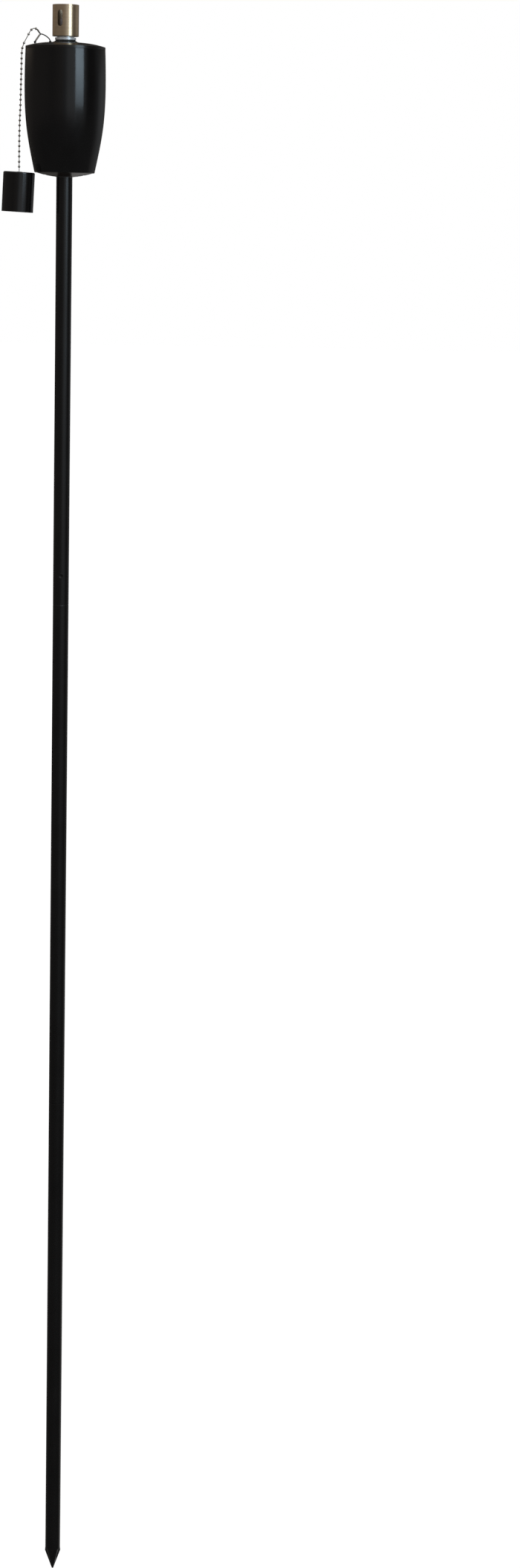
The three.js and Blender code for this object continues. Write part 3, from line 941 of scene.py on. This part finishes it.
# ---- loop on the lid ----
LOOP_WIRE = 0.55
LOOP_POINTS = [
    (-30.5, 1412.85), (-29.5, 1414.3), (-27.1, 1417.75), (-25.0, 1420.75), (-24.2, 1421.4), (-23.0, 1421.3),
    (-20.2, 1420.2), (-17.9, 1418.7), (-16.0, 1416.9), (-15.15, 1415.2), (-15.1, 1414.2),
]
SLEEVE_LOW = (-29.35, 1414.52)
SLEEVE_HIGH = (-25.05, 1420.68)
SLEEVE_OUTER = 1.15
SLEEVE_INNER = 0.72
SLEEVE_TURN = (math.radians(75), math.radians(287))


def leg_matrix(start, end):
    """The matrix and length of a piece that runs between two (x, z) places on the loop."""
    low = Vector((start[0], 0, start[1])) * MM
    high = Vector((end[0], 0, end[1])) * MM
    return along(low, high), (high - low).length / MM


def make_foot(name, node, size, start, end):
    """A brazed bead where the wire meets the lid."""
    matrix, length = leg_matrix(start, end)
    core = 0.5
    turn = [math.pi / 2 * i / 10 for i in range(-6, 10)]
    outline = [(core + (size - core) * math.cos(a), length * (0.4 + 0.6 * math.sin(a))) for a in turn]
    outline = [(core + 0.06, outline[0][1]), *outline, (core + 0.06, outline[-1][1])]
    finished(name, lathed(name, outline, 40, matrix=matrix), "canister", [node], WIRE_PAINT)


def make_loop_sleeve():
    """A strip of bright steel rolled round the left leg; it stays open along its inner side."""
    matrix, length = leg_matrix(SLEEVE_LOW, SLEEVE_HIGH)
    start, end = SLEEVE_TURN
    steps = 26
    turn = [start + (end - start) * i / steps for i in range(steps + 1)]
    heights = [0, 0.18, *[length * i / 8 for i in range(1, 8)], length - 0.18, length]
    bm = bmesh.new()
    skins = []
    for radius, trim in ((SLEEVE_OUTER, -0.05), (SLEEVE_INNER, 0.05)):
        rows = []
        for height in heights:
            size = radius + trim if height in (0, length) else radius
            places = [Vector((size * math.cos(a), size * math.sin(a), height)) * MM for a in turn]
            rows.append([bm.verts.new(place) for place in places])
        skins.append(rows)
    outer, inner = skins
    for rows in skins:
        for low, high in zip(rows, rows[1:]):
            for k in range(steps):
                bm.faces.new((low[k], low[k + 1], high[k + 1], high[k]))
    for row_out, row_in in ((outer[0], inner[0]), (outer[-1], inner[-1])):
        for k in range(steps):
            bm.faces.new((row_out[k], row_out[k + 1], row_in[k + 1], row_in[k]))
    for k in (0, steps):
        for low in range(len(heights) - 1):
            bm.faces.new((outer[low][k], outer[low + 1][k], inner[low + 1][k], inner[low][k]))
    bmesh.ops.transform(bm, matrix=matrix, verts=bm.verts)
    finished("loop_sleeve", mesh_from("loop_sleeve", bm), "canister", ["chain_coupling"],
             CLIP_STEEL)


def make_loop():
    """The wire hoop that the chain hangs from, with its two feet and its sleeve."""
    points, _ = smooth_route([Vector((x, 0, z)) * MM for x, z in LOOP_POINTS], 0.00035)
    bm = bmesh.new()
    wire_into(bm, points, LOOP_WIRE * MM, 16)
    finished("loop_wire", mesh_from("loop_wire", bm), "canister", ["chain_loop"], WIRE_PAINT,
             60)
    make_foot("loop_foot_left", "loop_boss_left", 1.3, (-30.3, 1413.15), (-29.4, 1414.45))
    make_foot("loop_foot_right", "loop_boss_right", 1.25, (-15.1, 1414.0), (-15.1, 1415.2))
    make_loop_sleeve()


# ---- snuffer ----
CAP_EDGE = 1.4
CAP_HOLE = 2.3
RIVET_BORE = 1.35


def cap_matrix():
    """Places a piece made about +Z, with its top at 0, as the cap hangs."""
    return Matrix.Translation(CAP_PLACE) @ Matrix.Rotation(CAP_TILT, 4, "Y")


def make_snuffer():
    """The drawn cap: a rounded crown, straight wall and hemmed lower lip, with a riveted eyelet."""
    edge, hole = CAP_EDGE, CAP_HOLE
    roof = CAP_RADIUS - edge
    wall = CAP_RADIUS - CAP_WALL
    hem = CAP_WALL / 2
    turn = [math.pi / 2 * i / 10 for i in range(10, -1, -1)]
    outside = [(roof + edge * math.cos(a), -edge + edge * math.sin(a)) for a in turn]
    crown = [(hole + (roof - hole) * i / 12, -0.12 * math.sin(math.pi * i / 12)) for i in range(12)]
    lip = [(CAP_RADIUS - hem + hem * math.cos(a), -CAP_HEIGHT + hem - hem * math.sin(a))
           for a in [math.pi * i / 8 for i in range(9)]]
    inside = [(wall, -edge - 0.6), (wall - 0.3, -edge), (roof - 0.2, -CAP_WALL - 0.15), (hole, -CAP_WALL)]
    outline = crown + outside + lip + inside
    cup = lathed("snuffer_cup", outline, 160, matrix=cap_matrix())
    finished("snuffer_cup", cup, "snuffer", ["snuffer_cap"], TANK_PAINT)
    rivet = [(RIVET_BORE, -1.3), (3, -1.3), (3, -1), (2, -1), (2, 0.06), (2.7, 0.06), (2.6, 0.25),
             (2.2, 0.34), (1.6, 0.34), (RIVET_BORE, 0.2)]
    grommet = lathed("cap_rivet", rounded(rivet, 0.1, 2), 48, matrix=cap_matrix())
    finished("cap_rivet", grommet, "snuffer", ["cap_eyelet"], WIRE_PAINT)


# ---- stage ----
FLOOR_HALF = 30
FLOOR_GAP = 0.0005
KEY_AZIMUTH = math.radians(41)
KEY_DISTANCE = 1.5
KEY_WIDTH = 0.64
KEY_COLOUR = (0.66, 0.85, 1.0)
# The key light's panels: name, foot and head (m), and radiance.
KEY_PANELS = [
    ("key_top", 1.48, 2.6, 3.8),
    ("key_middle", 1.38, 1.48, 2.9),
    ("key_foot", 1.265, 1.38, 1.75),
]
# The room's radiance and tint by azimuth from the front (degrees, + to the right).
WARM = (1.08, 0.98, 0.90)
PLAIN = (0.97, 1.0, 1.03)
ROOM = [
    (-180, 0.01, WARM), (-160, 0.035, WARM), (-142, 0.065, WARM), (-118, 0.10, WARM), (-100, 0.11, WARM),
    (-85, 0.12, WARM), (-60, 0.12, WARM), (-35, 0.10, WARM), (-20, 0.13, WARM), (-10, 0.16, WARM),
    (-1, 0.20, PLAIN), (5, 0.35, PLAIN), (9, 0.45, PLAIN), (18, 0.48, PLAIN), (24, 0.50, PLAIN),
    (56, 0.30, PLAIN), (67, 0.05, WARM), (77, 0.035, WARM), (90, 0.05, WARM), (106, 0.13, PLAIN),
    (118, 0.25, PLAIN), (130, 0.24, PLAIN), (146, 0.13, PLAIN), (162, 0.09, WARM), (180, 0.02, WARM),
]
CEILING = (0.46, 0.45, 0.43)
WALL_LEFT, WALL_RIGHT = (0.26, 0.22, 0.18), (0.09, 0.08, 0.07)
GROUND = (0.07, 0.067, 0.064)
FAR_GROUND_LEFT, FAR_GROUND_RIGHT = (0.03, 0.028, 0.026), (0.06, 0.058, 0.055)
NEAR_GROUND_LEFT, NEAR_GROUND_RIGHT = (0.12, 0.112, 0.104), (0.38, 0.37, 0.36)


def make_floor():
    """A plain white floor just under the stake's tip; polished pieces don't reflect it."""
    height = TIP_Z * MM - FLOOR_GAP
    mesh = bpy.data.meshes.new("floor")
    corners = [(x * FLOOR_HALF, y * FLOOR_HALF, height) for x, y in ((-1, -1), (1, -1), (1, 1), (-1, 1))]
    mesh.from_pydata(corners, [], [(0, 1, 2, 3)])
    floor = bpy.data.objects.new("floor", mesh)
    bpy.context.scene.collection.objects.link(floor)
    n = Nodes("floor_paper")
    n.set(Base_Color=(0.1, 0.1, 0.1), Roughness=1.0, Specular_IOR_Level=0.0)
    n.set(Emission_Color=(1, 1, 1), Emission_Strength=1.0)
    mesh.materials.append(n.material)
    floor.visible_glossy = False


def make_key_panel(name, low, high, radiance):
    """A soft panel to the right of the front, facing the pole; the camera doesn't see it."""
    data = bpy.data.lights.new(name, "AREA")
    data.shape = "RECTANGLE"
    data.size = KEY_WIDTH
    data.size_y = high - low
    data.color = KEY_COLOUR
    data.energy = radiance * KEY_WIDTH * (high - low) * math.pi
    light = bpy.data.objects.new(name, data)
    back = Vector((math.sin(KEY_AZIMUTH), -math.cos(KEY_AZIMUTH), 0))
    place = back * KEY_DISTANCE + UP * (low + high) / 2
    light.matrix_world = Matrix.Translation(place) @ Matrix((UP.cross(back), UP, back)).transposed().to_4x4()
    light.visible_camera = False
    bpy.context.scene.collection.objects.link(light)


def room_by_azimuth(t, x, y):
    """The colour of the room round the torch, from the direction's x and y."""
    azimuth = t.math("ARCTAN2", x, t.math("MULTIPLY", y, -1.0))
    turn = t.math("ADD", t.math("DIVIDE", azimuth, 2 * math.pi), 0.5)
    room = t.node("ShaderNodeValToRGB")
    room.color_ramp.interpolation = "LINEAR"
    ramp = room.color_ramp.elements
    while len(ramp) < len(ROOM):
        ramp.new(0.5)
    for element, (degrees, level, tint) in zip(ramp, ROOM):
        element.position = degrees / 360 + 0.5
        element.color = (*(level * share for share in tint), 1)
    t.link(turn, room.inputs["Fac"])
    return room.outputs["Color"]


def room_light(t):
    """The room by direction: its walls by azimuth, a ceiling, a low wall behind, and the ground."""
    parts = t.node("ShaderNodeSeparateXYZ")
    t.link(t.node("ShaderNodeTexCoord").outputs["Generated"], parts.inputs[0])
    x, y, z = parts.outputs

    def rise(value, low, high):
        return t.mapped(value, low, high, 0, 1, "SMOOTHSTEP")

    down = t.math("MULTIPLY", z, -1.0)
    behind = rise(y, 0.1, 0.5)
    lit = t.mixed(rise(z, 0.35, 0.8), room_by_azimuth(t, x, y), CEILING)
    wall = t.math("MULTIPLY", rise(z, 0.055, 0.09), t.math("SUBTRACT", 1.0, rise(z, 0.14, 0.3)))
    wall_colour = t.mixed(rise(x, -0.03, 0.03), WALL_LEFT, WALL_RIGHT)
    lit = t.mixed(t.math("MULTIPLY", wall, behind), lit, wall_colour)
    to_right = rise(x, -0.012, 0.012)
    far = t.mixed(to_right, FAR_GROUND_LEFT, FAR_GROUND_RIGHT)
    near = t.mixed(to_right, NEAR_GROUND_LEFT, NEAR_GROUND_RIGHT)
    ground = t.mixed(behind, GROUND, t.mixed(rise(down, 0.05, 0.45), far, near))
    return t.mixed(rise(down, 0.03, 0.24), lit, ground)


def make_world():
    """Plain white where the camera sees past the torch; a dim warm room for all other light."""
    world = bpy.data.worlds.new("studio")
    bpy.context.scene.world = world
    t = Tree(world)
    seen = t.node("ShaderNodeBackground")
    seen.inputs["Color"].default_value = (1, 1, 1, 1)
    room = t.node("ShaderNodeBackground")
    t.link(room_light(t), room.inputs["Color"])
    choice = t.node("ShaderNodeMixShader")
    t.link(t.node("ShaderNodeLightPath").outputs["Is Camera Ray"], choice.inputs[0])
    t.link(room.outputs[0], choice.inputs[1])
    t.link(seen.outputs[0], choice.inputs[2])
    t.link(choice.outputs[0], t.node("ShaderNodeOutputWorld").inputs["Surface"])


def make_stage():
    bpy.context.scene.view_settings.view_transform = "Standard"
    make_floor()
    make_world()
    for panel in KEY_PANELS:
        make_key_panel(*panel)


make_pole()
make_canister()
make_burner()
make_loop()
make_snuffer()
make_stage()
